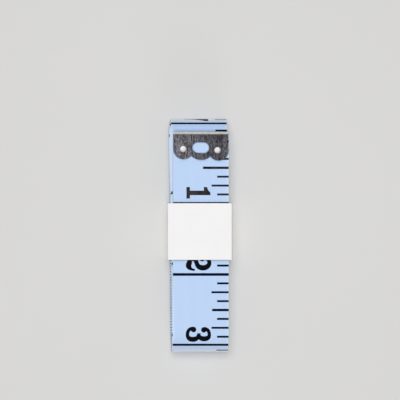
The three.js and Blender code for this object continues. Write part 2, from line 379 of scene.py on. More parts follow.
ink = {
    "kinds": {              # deep and thin colour
        "figureInk": ((0.0020, 0.0023, 0.0052), (0.0065, 0.0070, 0.0105)),
        "lineInk": ((0.0008, 0.0028, 0.0130), (0.0028, 0.0068, 0.0230)),        # bluer than the figures
        "wornFigureInk": ((0.0085, 0.0105, 0.0170), (0.0480, 0.0430, 0.0400)),  # on the free end
        "wornLineInk": ((0.0070, 0.0100, 0.0230), (0.0420, 0.0430, 0.0520)),
    },
    "grain": ((500, 500, 500), 0.2),
    "roughness": (0.55, 0.7),
    "surface": {"Specular IOR Level": 0.03},
}


def inkFinish(kind):
    # the inks differ in their colours only
    return grainedFinish(kind, {**ink, "colours": ink["kinds"][kind]})


nickel = {
    "dark": (0.016, 0.015, 0.021),
    "light": (0.207, 0.199, 0.228),
    "lines": ((2000, 260, 700), 0.13),
    "lineBump": (0.01, 0.25),
    "fleck": (0.40, 0.39, 0.41),
    "flecks": ((3200, 1300, 1500), 0.14),
    "fleckPower": 4.0,                  # higher for fewer flecks
    "rightDark": (0.020, 0.020, 0.032),   # darker colour on the right-hand half, less of it near the right-hand edge
    "rightDarkAcross": (-6.0 * mm, 3.0 * mm),
    "rightDarkShares": (0, 0.45),
    "nearEdgeAcross": (7.8 * mm, 9.6 * mm),
    "nearEdgeShares": (1, 0.4),
    "roughness": (0.34, 0.5),
    "surface": {"Metallic": 1.0},
}


def nickelFinish():
    # drawn lines along the clip, with small bright flecks, darker on its right-hand half
    material, tree, shader = newMaterial("drawnNickel", nickel["surface"])
    place = objectPlace(tree)
    lines = addGroup(tree, grainGroup, place, *nickel["lines"])
    flecks = addGroup(tree, grainGroup, place, *nickel["flecks"])
    sparse = addMath(tree, "POWER", flecks, nickel["fleckPower"])
    tint = mixColours(tree, lines, nickel["dark"], nickel["light"])
    speckled = mixColours(tree, sparse, tint, nickel["fleck"])
    x = splitPlace(tree, place)[0]
    # darker towards the right-hand half, less so near the right-hand edge
    towardsRight = addRamp(tree, x, nickel["rightDarkAcross"], nickel["rightDarkShares"])
    nearEdge = addRamp(tree, x, nickel["nearEdgeAcross"], nickel["nearEdgeShares"])
    rightDarkMask = addMath(tree, "MULTIPLY", towardsRight, nearEdge)
    paint(tree, shader, rightDarkMask, speckled, nickel["rightDark"])
    roughen(tree, shader, lines, nickel["roughness"])
    addBump(tree, shader, lines, *nickel["lineBump"])
    return material


foldHighlight = {              # the clip's folded end is painted bright: a painted highlight where the round fold catches the light
    "colours": ((0.50, 0.49, 0.47), (0.74, 0.73, 0.70)),
    "grain": ((900, 2600, 1800), 0.2),
    "roughness": (0.42, 0.28),
    "surface": {"Metallic": 1.0},
}

rivetMetal = {
    "colours": ((0.78, 0.77, 0.76), (0.92, 0.91, 0.90)),
    "grain": ((1600, 1600, 1600), 0.2),
    "roughness": (0.4, 0.26),
    "bump": (0.02, 0.2),
    "surface": {"Metallic": 1.0},
}

driedGlue = {
    "colours": ((0.80, 0.73, 0.54), (0.88, 0.84, 0.72)),
    "grain": ((500, 300, 500), 0.25),
    "roughness": (0.25, 0.45),
    "surface": {},
}

paper = {
    "white": (0.915, 0.905, 0.912),
    "fibre": (0.870, 0.858, 0.866),
    "fibres": ((2600, 900, 1800), 0.25),
    "fibreBump": (0.015, 0.3),
    "clouds": ((160, 160, 160), 0.3),
    "surface": {"Roughness": 0.88, "Specular IOR Level": 0.25},
}


def paperFinish():
    # fibres that show only in cloudy patches
    material, tree, shader = newMaterial("bandPaper", paper["surface"])
    place = objectPlace(tree)
    fibres = addGroup(tree, grainGroup, place, *paper["fibres"])
    clouds = addGroup(tree, grainGroup, place, *paper["clouds"])
    patchy = addMath(tree, "MULTIPLY", fibres, clouds)
    paint(tree, shader, patchy, paper["white"], paper["fibre"])
    addBump(tree, shader, fibres, *paper["fibreBump"])
    return material


# Mesh helpers

def gridFaces(rows, columns, closed):
    # quads between neighbouring rows and columns, for points that are stored row by row
    row = np.arange(rows - 1)[:, None]
    column = np.arange(columns if closed else columns - 1)[None, :]
    nextColumn = (column + 1) % columns
    corners = [row * columns + column, row * columns + nextColumn]
    corners += [(row + 1) * columns + nextColumn, (row + 1) * columns + column]
    return np.stack(np.broadcast_arrays(*corners), -1).reshape(-1, 4)


def newPiece(name, points, faces, materials):
    # an object made from points in millimetres
    mesh = bpy.data.meshes.new(name)
    mesh.from_pydata((np.asarray(points) * mm).tolist(), [], faces)
    for material in materials:
        mesh.materials.append(material)
    piece = bpy.data.objects.new(name, mesh)
    scene.collection.objects.link(piece)
    return piece


def smoothShade(mesh, sharpAngle):
    # faces that meet at more than the angle, in degrees, keep a sharp edge
    mesh.polygons.foreach_set("use_smooth", np.ones(len(mesh.polygons), bool))
    mesh.set_sharp_from_angle(angle=math.radians(sharpAngle))


def mergePoints(mesh, settings):
    # joins points that lie on each other, and faces that lie flat beside each other where that is asked
    work = bmesh.new()
    work.from_mesh(mesh)
    bmesh.ops.remove_doubles(work, verts=work.verts, dist=settings["mergeWithin"] * mm)
    if "flatWithin" in settings:
        flatAngle = math.radians(settings["flatWithin"])
        bmesh.ops.dissolve_limit(work, angle_limit=flatAngle, verts=work.verts, edges=work.edges)
    work.to_mesh(mesh)
    work.free()


def markRim(mesh):
    # edges with a single face are kept sharp, so that a wall on them doesn't bend the shading
    corner = np.zeros(len(mesh.loops), np.int32)
    mesh.loops.foreach_get("edge_index", corner)
    rim = np.bincount(corner, minlength=len(mesh.edges)) == 1
    sharp = np.zeros(len(mesh.edges), bool)
    mesh.edges.foreach_get("use_edge_sharp", sharp)
    mesh.edges.foreach_set("use_edge_sharp", sharp | rim)


def smoothStep(share):
    # eases in and out: three times the square less twice the cube
    return share * share * (3 - 2 * share)


# Route of the wound tape

tape = {
    "length": 1524.0,       # 60 inches between the outer ends of the two clips
    "width": 20.0,
    "thickness": 0.30,
    "edgeCut": 0.04,        # small slope along the cut edges
    "turns": 8,
    "pitch": 0.68,          # from layer to layer
    "coreRadius": 1.3,      # bend radius of the innermost loop
    "innerLeg": 40.0,       # the far end, inside the innermost loop
    "outerReach": 1.75,     # how far the zero end passes the centre of the top bends
    "outerX": (0.38, 0.34),         # sideways place of the outermost run, at its upper and lower end
    "frontTopX": (-0.23, -1.15),    # upper ends of the other front runs, from the second one inwards
    "frontFootX": (0.05, 0.3),      # and their lower ends
    "backTopX": (-0.75, -1.1),      # upper ends of the back runs, from the lowest one inwards
    "backFootX": (-0.45, -0.6),     # and their lower ends
    "settling": 0.47,       # share of that difference that each turn leaves to the next
    "wander": 0.04,         # uneven stacking, to either side
    "wanderPhase": 2.4,     # radians from one turn to the next
    "ripple": 0.07,         # unevenness of the runs inside the winding
    "outerRipple": 0.015,   # and of the two outermost ones
    "halfWaves": (2.1, 5.0),        # slow and quick ones on each run
    "quickShare": 0.5,      # height of the quick ones against the slow ones
    "outerPhase": 0.8,      # where the waves start, on the outermost run
    "turnPhase": 1.7,       # and from one turn to the next
    "frontPhase": 0.9,      # and from a back run to the front run after it
    "topLean": 0.15,        # the top bends step up by twice this from the outermost to the innermost
    "foldInset": 0.6,       # the cloth ends this far inside the fold of a clip
    "seam": 33.5,           # under the band, where the free stretch goes over into the winding
    "rise": 1.2,            # degrees that the free stretch stands off
    "riseSpan": 4.0,        # length over which it bends up, at rest and when it is lifted
    "bendSteps": 28,
    "runSteps": 32,
    "freeStep": 0.3,        # between stations on the outermost run
    "sharpAngle": 30,
}
lift = next(joint for joint in frame["joints"] if joint["name"] == "free_end_lift")
flexX, flexY, flexZ = (value / mm for value in lift["pos_m"])


def turnRadius(turn):
    # distance of a turn's two runs from the middle plane of the winding
    return tape["coreRadius"] + (tape["turns"] - turn) * tape["pitch"]


def halfRunLength():
    # what the bends, the reach and the inner leg leave of the tape, shared evenly among the runs
    turn = np.arange(tape["turns"])
    bends = math.pi * 1.5 * tape["coreRadius"]      # innermost loop, whose second bend is half as wide
    bends += math.pi * np.sum(2 * turnRadius(turn) - tape["pitch"] / 2)
    return (tape["length"] - tape["outerReach"] - tape["innerLeg"] - bends) / (4 * tape["turns"] + 4)


halfRun = halfRunLength()
middleY = tape["pitch"] / 4         # the two bends then reach equally far from y = 0
middleZ = flexZ - turnRadius(0)
zeroEndY = middleY + halfRun + tape["outerReach"]
farEndY = middleY + halfRun - tape["innerLeg"]
farEndX = sum(corner[0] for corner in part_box("far_end_clip")) / 2 / mm


def runStretch(share, start, end, z, facing, ripple, phase):
    # a straight run between two places (x, y), whose height ripples less and less towards both ends;
    # facing is 1 where the inch face looks up, and -1 where it looks down
    fade = np.sin(math.pi * share) ** 2
    slow, quick = tape["halfWaves"]
    wave = np.sin(slow * math.pi * share + phase)
    wave += tape["quickShare"] * np.sin(quick * math.pi * share + 2 * phase)
    x, y = (first + (last - first) * share for first, last in zip(start, end))
    level = np.zeros_like(share)
    places = np.stack([x, y, z + ripple * fade * wave, level, level + facing], 1)
    return places, abs(end[1] - start[1]) * share


def bendStretch(share, centre, radius, startAngle, fromX, toX):
    # half a circle about (y, z): place = centre + radius * (cos, sin), and x eases from side to side
    y, z = centre
    angle = startAngle + math.pi * share
    x = fromX + (toX - fromX) * smoothStep(share)
    cos = np.cos(angle)
    sin = np.sin(angle)
    return np.stack([x, y + radius * cos, z + radius * sin, cos, sin], 1), math.pi * radius * share


def liftFreeEnd(stretch):
    # z rises as a parabola across the flexing line, then straight on, and the facing leans back with it
    slope = math.tan(math.radians(tape["rise"]))
    span = tape["riseSpan"]
    past = stretch[:, 1] - flexY + span / 2
    onCurve = np.clip(past, 0, span)
    stretch[:, 2] += slope * (onCurve ** 2 / (2 * span) + np.clip(past - span, 0, None))
    lean = slope * onCurve / span
    stretch[:, 3] = -lean / np.hypot(1, lean)
    stretch[:, 4] = 1 / np.hypot(1, lean)


def layX(ends, turn):
    # sideways place of a turn: it nears the inner one of two places turn by turn, and wanders a little
    outer, inner = ends
    settled = inner + (outer - inner) * tape["settling"] ** turn
    return settled + tape["wander"] * math.sin(tape["wanderPhase"] * turn)


def windingRoute():
    # stations x, y, z and facing y, z along the tape's middle, from the zero end on, and their length s
    bendShare = np.linspace(0, 1, tape["bendSteps"] + 1)
    runShare = np.linspace(0, 1, tape["runSteps"] + 1)
    bottom = middleY - halfRun
    outerRun = zeroEndY - bottom
    even = np.linspace(0, 1, int(outerRun / tape["freeStep"]) + 1)
    ends = np.array([tape["foldInset"], tape["seam"]]) / outerRun
    firstShare = np.unique(np.concatenate([even, ends]))
    topX, footX = tape["outerX"]
    zeroEnd = (topX, zeroEndY)
    ripple = tape["outerRipple"]
    first = runStretch(firstShare, zeroEnd, (footX, bottom), flexZ, 1, ripple, tape["outerPhase"])
    liftFreeEnd(first[0])
    parts = [first]
    for turn in range(tape["turns"] + 1):
        lastRun = turn == tape["turns"]
        radius = turnRadius(turn)
        nextRadius = 0.0 if lastRun else turnRadius(turn + 1)
        backZ = middleZ - radius
        frontZ = middleZ + nextRadius
        top = middleY + halfRun + tape["topLean"] * (2 * turn / tape["turns"] - 1)
        phase = tape["turnPhase"] * turn
        backX = layX(tape["backFootX"], turn)
        parts.append(bendStretch(bendShare, (bottom, middleZ), radius, math.pi / 2, footX, backX))
        backTopX = layX(tape["backTopX"], turn)
        ripple = tape["ripple"] if turn else tape["outerRipple"]
        parts.append(runStretch(runShare, (backX, bottom), (backTopX, top), backZ, -1, ripple, phase))
        topX = farEndX if lastRun else layX(tape["frontTopX"], turn)
        topCentre = (top, middleZ + (nextRadius - radius) / 2)
        topRadius = (nextRadius + radius) / 2
        parts.append(bendStretch(bendShare, topCentre, topRadius, -math.pi / 2, backTopX, topX))
        footX = farEndX if lastRun else layX(tape["frontFootX"], turn)
        endY = farEndY + tape["foldInset"] if lastRun else bottom
        ripple = 0.0 if lastRun else tape["ripple"]
        phase += tape["frontPhase"]
        parts.append(runStretch(runShare, (topX, top), (footX, endY), frontZ, 1, ripple, phase))
    places = [parts[0][0]]
    lengths = [parts[0][1]]
    for stretch, length in parts[1:]:
        places.append(stretch[1:])
        lengths.append(lengths[-1][-1] + length[1:])
    return np.vstack(places), np.concatenate(lengths)


stations, stationS = windingRoute()
print("route: %d stations, %.1f mm of tape" % (len(stations), stationS[-1] + tape["foldInset"]))


def onTape(side, s, out):
    # place = station at s, moved sideways by side and by out along the way that the inch face looks
    x, y, z, facingY, facingZ = (np.interp(s, stationS, column) for column in stations.T)
    return np.stack([x + side, y + out * facingY, z + out * facingZ], -1)


# Cloth of the tape

def tapeSection():
    # an oblong with its four corners cut, counter-clockwise from the lower right
    wide = tape["width"] / 2
    thick = tape["thickness"] / 2
    cut = tape["edgeCut"]
    quarter = np.array([(wide, thick - cut), (wide - cut, thick)])
    upper = np.vstack([quarter, quarter[::-1] * [-1, 1]])
    return np.vstack([upper, -upper])


def clothRibbon(name, fromS, toS, finishes):
    # the section is carried along the stations between two lengths, and both ends are closed
    slack = 1e-6
    keep = (stationS > fromS - slack) & (stationS < toS + slack)
    section = tapeSection()
    s = stationS[keep]
    rows = len(s)
    columns = len(section)
    points = onTape(section[None, :, 0], s[:, None], section[None, :, 1]).reshape(-1, 3)
    quads = gridFaces(rows, columns, closed=True)
    ring = np.arange(columns)
    ends = [ring[::-1].tolist(), (ring + (rows - 1) * columns).tolist()]
    piece = newPiece(name, points, quads.tolist() + ends, finishes)
    mesh = piece.data
    printedSides = (1, 5)       # of the section; cut edges and ends have the second finish
    isCut = ~np.isin(np.arange(len(quads)) % columns, printedSides)
    kinds = np.append(isCut, np.ones(len(ends), bool))
    mesh.polygons.foreach_set("material_index", kinds.astype(np.int32))
    uv = np.stack(np.broadcast_arrays(section[None, :, 0], s[:, None]), -1).reshape(-1, 2)
    corner = np.zeros(len(mesh.loops), np.int32)
    mesh.loops.foreach_get("vertex_index", corner)
    layer = mesh.uv_layers.new(name=cloth["map"])
    layer.uv.foreach_set("vector", uv[corner].astype(np.float32).ravel())
    smoothShade(mesh, tape["sharpAngle"])
    return piece


# Figures of the scale, drawn in shares of their height: u along the reading direction, v upwards

figures = {
    "stem": 0.215,          # thick strokes
    "hair": 0.14,           # thin strokes
    "slab": 0.142,          # foot of a stem
    "ball": 0.112,          # radius of a round terminal
    "overshoot": 0.028,     # round figures pass the height by this much
    "swelling": 1.6,        # how suddenly a stroke thickens as it turns downwards
    "width": 0.638,
    "oneInset": 0.112,      # the narrow figure 1 stands near the middle of that width
    "advance": 0.7,         # from one figure of a number to the next
}


class FigurePen:
    # draws the parts of a figure with a given number of points on a quarter turn
    def __init__(self, steps):
        self.steps = steps

    def oval(self, u, v, radiusU, radiusV, fromAngle, toAngle):
        # an elliptic arc: centre + radii * (cos, sin)
        count = int(self.steps * abs(toAngle - fromAngle) / 90) + 2
        angle = np.radians(np.linspace(fromAngle, toAngle, count))
        return np.stack([u + radiusU * np.cos(angle), v + radiusV * np.sin(angle)], 1)

    def curve(self, *knots):
        # a cubic curve from the first knot to the last, drawn towards the two between
        t = np.linspace(0, 1, 2 * self.steps)[:, None]
        a, b, c, d = np.array(knots, float)
        return (1 - t) ** 3 * a + 3 * (1 - t) ** 2 * t * b + 3 * (1 - t) * t ** 2 * c + t ** 3 * d

    def strip(self, left, right):
        # quads between two lines
        return list(np.stack([left[:-1], right[:-1], right[1:], left[1:]], 1))

    def stroke(self, line, down, level):
        # a broad pen: as wide as down where the line runs downwards, and as level elsewhere
        along = np.gradient(line, axis=0)
        along /= np.linalg.norm(along, axis=1)[:, None]
        half = 0.5 * (level + (down - level) * np.clip(-along[:, 1:], 0, 1) ** figures["swelling"])
        side = along[:, ::-1] * [-1, 1] * half
        return self.strip(line + side, line - side)

    def ring(self, u, v, radiusU, radiusV, stem, hair):
        # between an ellipse and a smaller one, thick at the sides and thin above and below
        outer = self.oval(u, v, radiusU, radiusV, 0, 360)
        return self.strip(outer, self.oval(u, v, radiusU - stem, radiusV - hair, 0, 360))

    def block(self, *corners):
        # a shape with straight sides
        return [np.array(corners, float)]

    def bar(self, u0, v0, u1, v1):
        # an oblong between two opposite corners
        return self.block((u0, v0), (u1, v0), (u1, v1), (u0, v1))

    def ball(self, u, v):
        # a round terminal, whose last point stops short of its first
        nearlyRound = 345
        return [self.oval(u, v, figures["ball"], figures["ball"], 0, nearlyRound)]


def figureParts(digit, pen):
    # the overlapping strokes of one figure
    stem, hair, slab, over = (figures[key] for key in ("stem", "hair", "slab", "overshoot"))
    low = hair / 2 - over       # middle of a round figure's lowest stroke
    high = 1 - low
    if digit == 0:
        return pen.ring(0.32, 0.5, 0.32, 0.5 + over, stem, hair)
    if digit == 1:
        head = [(0.2, 0.728), (0.336, 0.7), (0.336, 1), (0.25, 1), (0.21, 0.98), (0.13, 0.905)]
        flag = pen.block(*head, (0, 0.861), (0, 0.728))
        return pen.bar(0.151, 0, 0.336, 0.8) + pen.bar(0, 0, 0.478, slab) + flag
    if digit == 2:
        start = pen.curve((0.085, 0.658), (0.09, 0.85), (0.17, high), (0.305, high))
        bowl = pen.oval(0.305, 0.69, 0.21, high - 0.69, 90, -38)
        bend = pen.curve(bowl[-1], (0.43, 0.455), (0.3, 0.42), (0.21, 0.39))
        neck = pen.curve((0.21, 0.39), (0.14, 0.36), (0.1, 0.25), (0.09, 0.08))
        line = np.vstack([start, bowl[1:], bend[1:], neck[1:]])
        under = pen.curve((0.02, 0), (0.1, 0.11), (0.2, 0.05), (0.3, 0))
        heel = pen.curve((0.3, 0), (0.42, -0.05), (0.53, -0.03), (0.6, 0.11))
        tip = pen.curve((0.6, 0.11), (0.63, 0.17), (0.645, 0.25), (0.635, 0.345))
        back = pen.curve((0.555, 0.345), (0.565, 0.24), (0.5, 0.2), (0.42, 0.2))
        above = pen.curve((0.42, 0.2), (0.3, 0.245), (0.2, 0.26), (0.06, 0.15))
        foot = [np.vstack([under, heel[1:], tip[1:], back, above[1:]])]
        return pen.stroke(line, 1.04 * stem, 1.2 * hair) + pen.ball(0.135, 0.658) + foot
    if digit == 3:
        upper = [pen.curve((0.085, 0.727), (0.09, 0.9), (0.2, high), (0.36, high))]
        upper.append(pen.oval(0.36, 0.744, 0.152, high - 0.744, 90, -95)[1:])
        lower = [pen.oval(0.345, 0.274, 0.193, 0.274 - low, 95, -90)]
        lower.append(pen.curve((0.345, low), (0.18, low), (0.075, 0.12), (0.072, 0.3))[1:])
        bowls = pen.stroke(np.vstack(upper), stem, hair) + pen.stroke(np.vstack(lower), stem, hair)
        return bowls + pen.bar(0.28, 0.455, 0.45, 0.59) + pen.ball(0.135, 0.727) + pen.ball(0.122, 0.3)
    if digit == 4:
        slope = pen.block((0, 0.24), (0.13, 0.24), (0.47, 0.86), (0.47, 1), (0.355, 1), (0, 0.36))
        cross = pen.bar(0, 0.24, 0.64, 0.24 + hair)
        return slope + cross + pen.bar(0.335, 0, 0.335 + stem, 1) + pen.bar(0.24, 0, 0.64, 0.85 * slab)
    if digit == 5:
        bowl = [pen.oval(0.305, 0.31, 0.225, 0.31 - low, 125, -90)]
        bowl.append(pen.curve((0.305, low), (0.17, low), (0.075, 0.13), (0.07, 0.285))[1:])
        back = pen.block((0.07, 0.43), (0.2, 0.43), (0.2, 0.56), (0.17, 0.6), (0.17, 1), (0.07, 1))
        flag = pen.block((0.07, 1), (0.07, 0.82), (0.45, 0.82), (0.56, 1))
        return pen.stroke(np.vstack(bowl), stem, hair) + back + flag + pen.ball(0.12, 0.285)
    if digit == 6:
        back = pen.curve((0.53, 0.83), (0.47, 1.07), (0.135, 1), (0.135, 0.36))
        bowl = pen.ring(0.335, 0.31, 0.3, 0.31 + over, stem, hair)
        return bowl + pen.stroke(back, stem, hair) + pen.ball(0.49, 0.8)
    if digit == 7:
        leg = pen.curve((0.49, 0.92), (0.43, 0.68), (0.27, 0.5), (0.27, 0))
        top = pen.bar(0.02, 0.82, 0.6, 1) + pen.bar(0.02, 0.66, 0.12, 1)
        return top + pen.stroke(leg, 1.05 * stem, 0.8 * stem)
    if digit == 8:
        upper = pen.ring(0.32, 0.75, 0.275, 0.25 + over, 0.9 * stem, 0.9 * hair)
        return upper + pen.ring(0.32, 0.275, 0.32, 0.275 + over, stem, hair)
    return [np.array([0.635, 1]) - part for part in figureParts(6, pen)]


def counterClockwise(loop):
    # turned round where the area, half the sum of the cross products of neighbours, is negative
    onward = np.roll(loop, -1, axis=0)
    area = np.sum(loop[:, 0] * onward[:, 1] - loop[:, 1] * onward[:, 0])
    return loop if area > 0 else loop[::-1]


def numberedLoops(loops):
    # the points of several loops in one list, and each loop as indices into it
    loops = [counterClockwise(loop) for loop in loops]
    ends = np.cumsum([len(loop) for loop in loops])
    return np.vstack(loops), [list(range(end - len(loop), end)) for loop, end in zip(loops, ends)]


def cutWhereCrossing(points, edges, loops):
    # triangles inside the loops, cut along all lines, each with the list of loops that it lies in
    insideLoops = 1
    mergeWithin = 1e-5
    made = delaunay_2d_cdt(points.tolist(), edges, loops, insideLoops, mergeWithin, True)
    corners, _, faces, _, _, holders = made
    return np.array([tuple(corner) for corner in corners]), list(zip(faces, holders))


def figureOutline(digit, steps):
    # strokes are cut into triangles where they cross, and the rim of all that they cover is followed
    points, loops = numberedLoops(figureParts(digit, FigurePen(steps)))
    corners, faces = cutWhereCrossing(points, [], loops)
    covered = [face for face, holders in faces if holders]
    sides = {(face[i - 1], face[i]) for face in covered for i in range(len(face))}
    following = {}
    for start, end in sides:
        if (end, start) not in sides:
            following.setdefault(start, []).append(end)
    outline = []
    while following:
        here = min(following)
        rim = []
        while here in following:
            rim.append(here)
            onward = following[here]
            step = onward.pop()
            if not onward:
                del following[here]
            here = step
        outline.append(withoutStraights(corners[rim]))
    return outline


def withoutStraights(loop):
    # leaves out points on the line between their neighbours, where the cross product is next to 0
    smallTurn = 1e-5
    before = loop - np.roll(loop, 1, axis=0)
    after = np.roll(loop, -1, axis=0) - loop
    turn = before[:, 0] * after[:, 1] - before[:, 1] * after[:, 0]
    return loop[np.abs(turn) > smallTurn]


# Print on the two faces of the tape

inchScale = {
    "zero": 0.19,           # the scale starts this far from the clip's outer end
    "unit": 25.4,
    "parts": 8,             # of a unit, each with its tick
    "lastPart": 479,        # the next one would be the very end of the tape
    "edge": 9.96,           # ticks start here, at the right-hand edge
    "lineFrom": -9.96,      # lines go across the whole tape
    "lineWidth": 0.94,
    # length and width of the ticks at every fourth, every second and every part
    "ticks": {4: (9.18, 0.86), 2: (6.1, 0.70), 1: (4.1, 0.70)},
    "shortTicks": {20: 5.87},       # the line at two and a half is short
    "figureHeight": 8.54,
    "baseline": -5.1,       # from the tape's middle
    "gapToLine": 1.32,      # from the last figure to the middle of its line
    "curveSteps": 8,
    "face": 1,
}

centimetreScale = {
    "zero": 0.19,
    "unit": 10.0,
    "parts": 10,
    "lastPart": 1520,
    "edge": 9.96,
    "lineFrom": -9.96,
    "lineWidth": 0.42,
    "ticks": {5: (5.2, 0.28), 1: (3.4, 0.28)},
    "shortTicks": {},
    "figureHeight": 4.3,
    "baseline": -2.2,
    "gapToLine": 0.9,
    "curveSteps": 3,
    "face": -1,
}

inkFilm = {
    "lift": 0.02,           # above the cloth
    "thickness": 0.05,
}

figureInk = 0               # places in a print's list of inks
lineInk = 1


def crossLine(s, fromSide, toSide, width):
    # one line of the scale: its ink, and its loop in (side, s)
    half = width / 2
    loop = [(fromSide, s - half), (toSide, s - half), (toSide, s + half), (fromSide, s + half)]
    return lineInk, [np.array(loop)]


def scaleNumber(number, endS, scale, outlines):
    # figures read along s, and the last one ends at endS:
    # side = baseline + v * height, s = start + u * height
    height = scale["figureHeight"]
    text = str(number)
    start = endS - height * (figures["advance"] * (len(text) - 1) + figures["width"])
    loops = []
    for place, letter in enumerate(text):
        inset = figures["advance"] * place + (figures["oneInset"] if letter == "1" else 0)
        for u, v in (loop.T for loop in outlines[int(letter)]):
            loops.append(np.stack([scale["baseline"] + height * v, start + height * (inset + u)], 1))
    return figureInk, loops


def scaleMarks(scale):
    # a tick from one edge at each part of a unit, and a line across at each unit, its number before it
    outlines = [figureOutline(digit, scale["curveSteps"]) for digit in range(10)]
    marks = []
    for part in range(1, scale["lastPart"] + 1):
        s = scale["zero"] + scale["unit"] * part / scale["parts"]
        if part % scale["parts"] == 0:
            marks.append(crossLine(s, scale["lineFrom"], scale["edge"], scale["lineWidth"]))
            marks.append(scaleNumber(part // scale["parts"], s - scale["gapToLine"], scale, outlines))
        else:
            length, width = next(tick for every, tick in scale["ticks"].items() if part % every == 0)
            length = scale["shortTicks"].get(part, length)
            marks.append(crossLine(s, scale["edge"] - length, scale["edge"], width))
    return marks


def markTriangles(loops):
    # fills the loops, and cuts the fill at every station so that it folds where the cloth does
    slack = 1e-4
    margin = 1
    points, faces = numberedLoops(loops)
    low = points.min(0)
    high = points.max(0)
    cuts = stationS[(stationS > low[1] + slack) & (stationS < high[1] - slack)]
    sides = (low[0] - margin, high[0] + margin)
    ends = np.array([(side, s) for s in cuts for side in sides]).reshape(-1, 2)
    first = len(points)
    edges = [(first + 2 * i, first + 2 * i + 1) for i in range(len(cuts))]
    corners, faces = cutWhereCrossing(np.vstack([points, ends]), edges, faces)
    filled = [face for face, holders in faces if len(holders) % 2]
    used = np.unique(filled)
    return corners[used], np.searchsorted(used, filled)


def printPiece(name, marks, scale, inks):
    # the inch face as drawn, the other face turned round, so that both read from the zero end
    corners = []
    triangles = []
    kinds = []
    count = 0
    for kind, loops in marks:
        made, faces = markTriangles(loops)
        corners.append(made)
        triangles.append(faces + count)
        kinds.append(np.full(len(faces), kind, np.int32))
        count += len(made)
    corners = np.vstack(corners)
    triangles = np.vstack(triangles)
    face = scale["face"]
    out = face * (tape["thickness"] / 2 + inkFilm["lift"])
    points = onTape(face * corners[:, 0], corners[:, 1], out)
    piece = newPiece(name, points, triangles[:, ::-1].tolist(), inks)
    piece.data.polygons.foreach_set("material_index", np.concatenate(kinds))
    film = piece.modifiers.new("inkFilm", "SOLIDIFY")
    film.thickness = inkFilm["thickness"] * mm
    film.offset = -1
    return piece


def splitAtSeam(marks):
    # marks that end before the seam, and those that don't
    isFree = [loops[0][:, 1].max() < tape["seam"] for _, loops in marks]
    free = [mark for mark, before in zip(marks, isFree) if before]
    return free, [mark for mark, before in zip(marks, isFree) if not before]


# End clips and rivets

clip = {
    "foldDepth": 1.15,      # the end with the painted highlight, from the fold
    "skewFrom": 4.0,        # from here on the stamped pattern runs a little askew
    "skewTo": 8.0,
    "skew": 0.038,
    "lobeShort": 0.18,
    "edgeRound": 0.035,     # of the stamped edges
    "roundSteps": 2,
    "roundAngle": 40,       # degrees from which an edge is rounded
    "sharpAngle": 35,
    "mergeWithin": 0.0005,
    "flatWithin": 0.5,      # faces that meet at less than this are joined, in degrees
}


def skewLobes(mesh, foldY, inward):
    # y moves by (lobeShort + skew * x) towards the fold, eased in with the distance from the fold
    places = np.zeros(3 * len(mesh.vertices), np.float32)
    mesh.vertices.foreach_get("co", places)
    places = places.reshape(-1, 3)
    fromFold = (places[:, 1] / mm - foldY) * inward
    span = clip["skewTo"] - clip["skewFrom"]
    share = smoothStep(np.clip((fromFold - clip["skewFrom"]) / span, 0, 1))
    middle = (places[:, 0].min() + places[:, 0].max()) / 2
    shift = clip["lobeShort"] * mm + inward * clip["skew"] * (places[:, 0] - middle)
    places[:, 1] -= inward * share * shift
    mesh.vertices.foreach_set("co", places.ravel())


def clipSheet(node, name, body, foldY, inward, finishes):
    # a merged copy of the stamped sheet, with its edges rounded and a painted highlight on its folded
    # end
    mesh = frame["nodes"][node].data.copy()
    mesh.name = name
    mergePoints(mesh, clip)
    skewLobes(mesh, foldY, inward)
    mesh.materials.clear()
    for finish in finishes:
        mesh.materials.append(finish)
    centres = np.zeros(3 * len(mesh.polygons), np.float32)
    mesh.polygons.foreach_get("center", centres)
    fromFold = (centres.reshape(-1, 3)[:, 1] / mm - foldY) * inward
    # the folded end takes the second finish, a painted highlight
    mesh.polygons.foreach_set("material_index", (fromFold < clip["foldDepth"]).astype(np.int32))
    smoothShade(mesh, clip["sharpAngle"])
    piece = bpy.data.objects.new(name, mesh)
    scene.collection.objects.link(piece)
    rounding = piece.modifiers.new("roundedEdges", "BEVEL")
    rounding.width = clip["edgeRound"] * mm
    rounding.segments = clip["roundSteps"]
    rounding.limit_method = "ANGLE"
    rounding.angle_limit = math.radians(clip["roundAngle"])
    rounding.harden_normals = True
    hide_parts(node)
    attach(piece, body)
    return piece


rivet = {
    "seat": 0.45,           # from the tape's middle to the underside of the head
    "headRadius": 1.2,
    "headHeight": 0.4,
    "shankRadius": 0.7,
    "tailRadius": 1.05,
    "tailHeight": 0.12,
    "edgeRound": 0.05,
    "sides": 48,
    "domeSteps": 10,
    "mergeWithin": 0.0001,
    "sharpAngle": 40,
}


def rivetProfile():
    # radius and height from the middle of the tail, over the shank, to the top of the domed head
    seat = rivet["seat"]
    angle = np.linspace(0, math.pi / 2, rivet["domeSteps"] + 1)
    height = seat + rivet["headHeight"] * np.sin(angle)
    dome = np.stack([rivet["headRadius"] * np.cos(angle), height], 1)
    dome[-1, 0] = 0
    tail = seat + rivet["tailHeight"]
    wide = rivet["tailRadius"]
    cut = rivet["edgeRound"]
    foot = [(0, -tail), (wide - cut, -tail), (wide, cut - tail), (wide, -seat)]
    shank = [(rivet["shankRadius"], -seat), (rivet["shankRadius"], seat)]
    return np.vstack([foot, shank, dome])


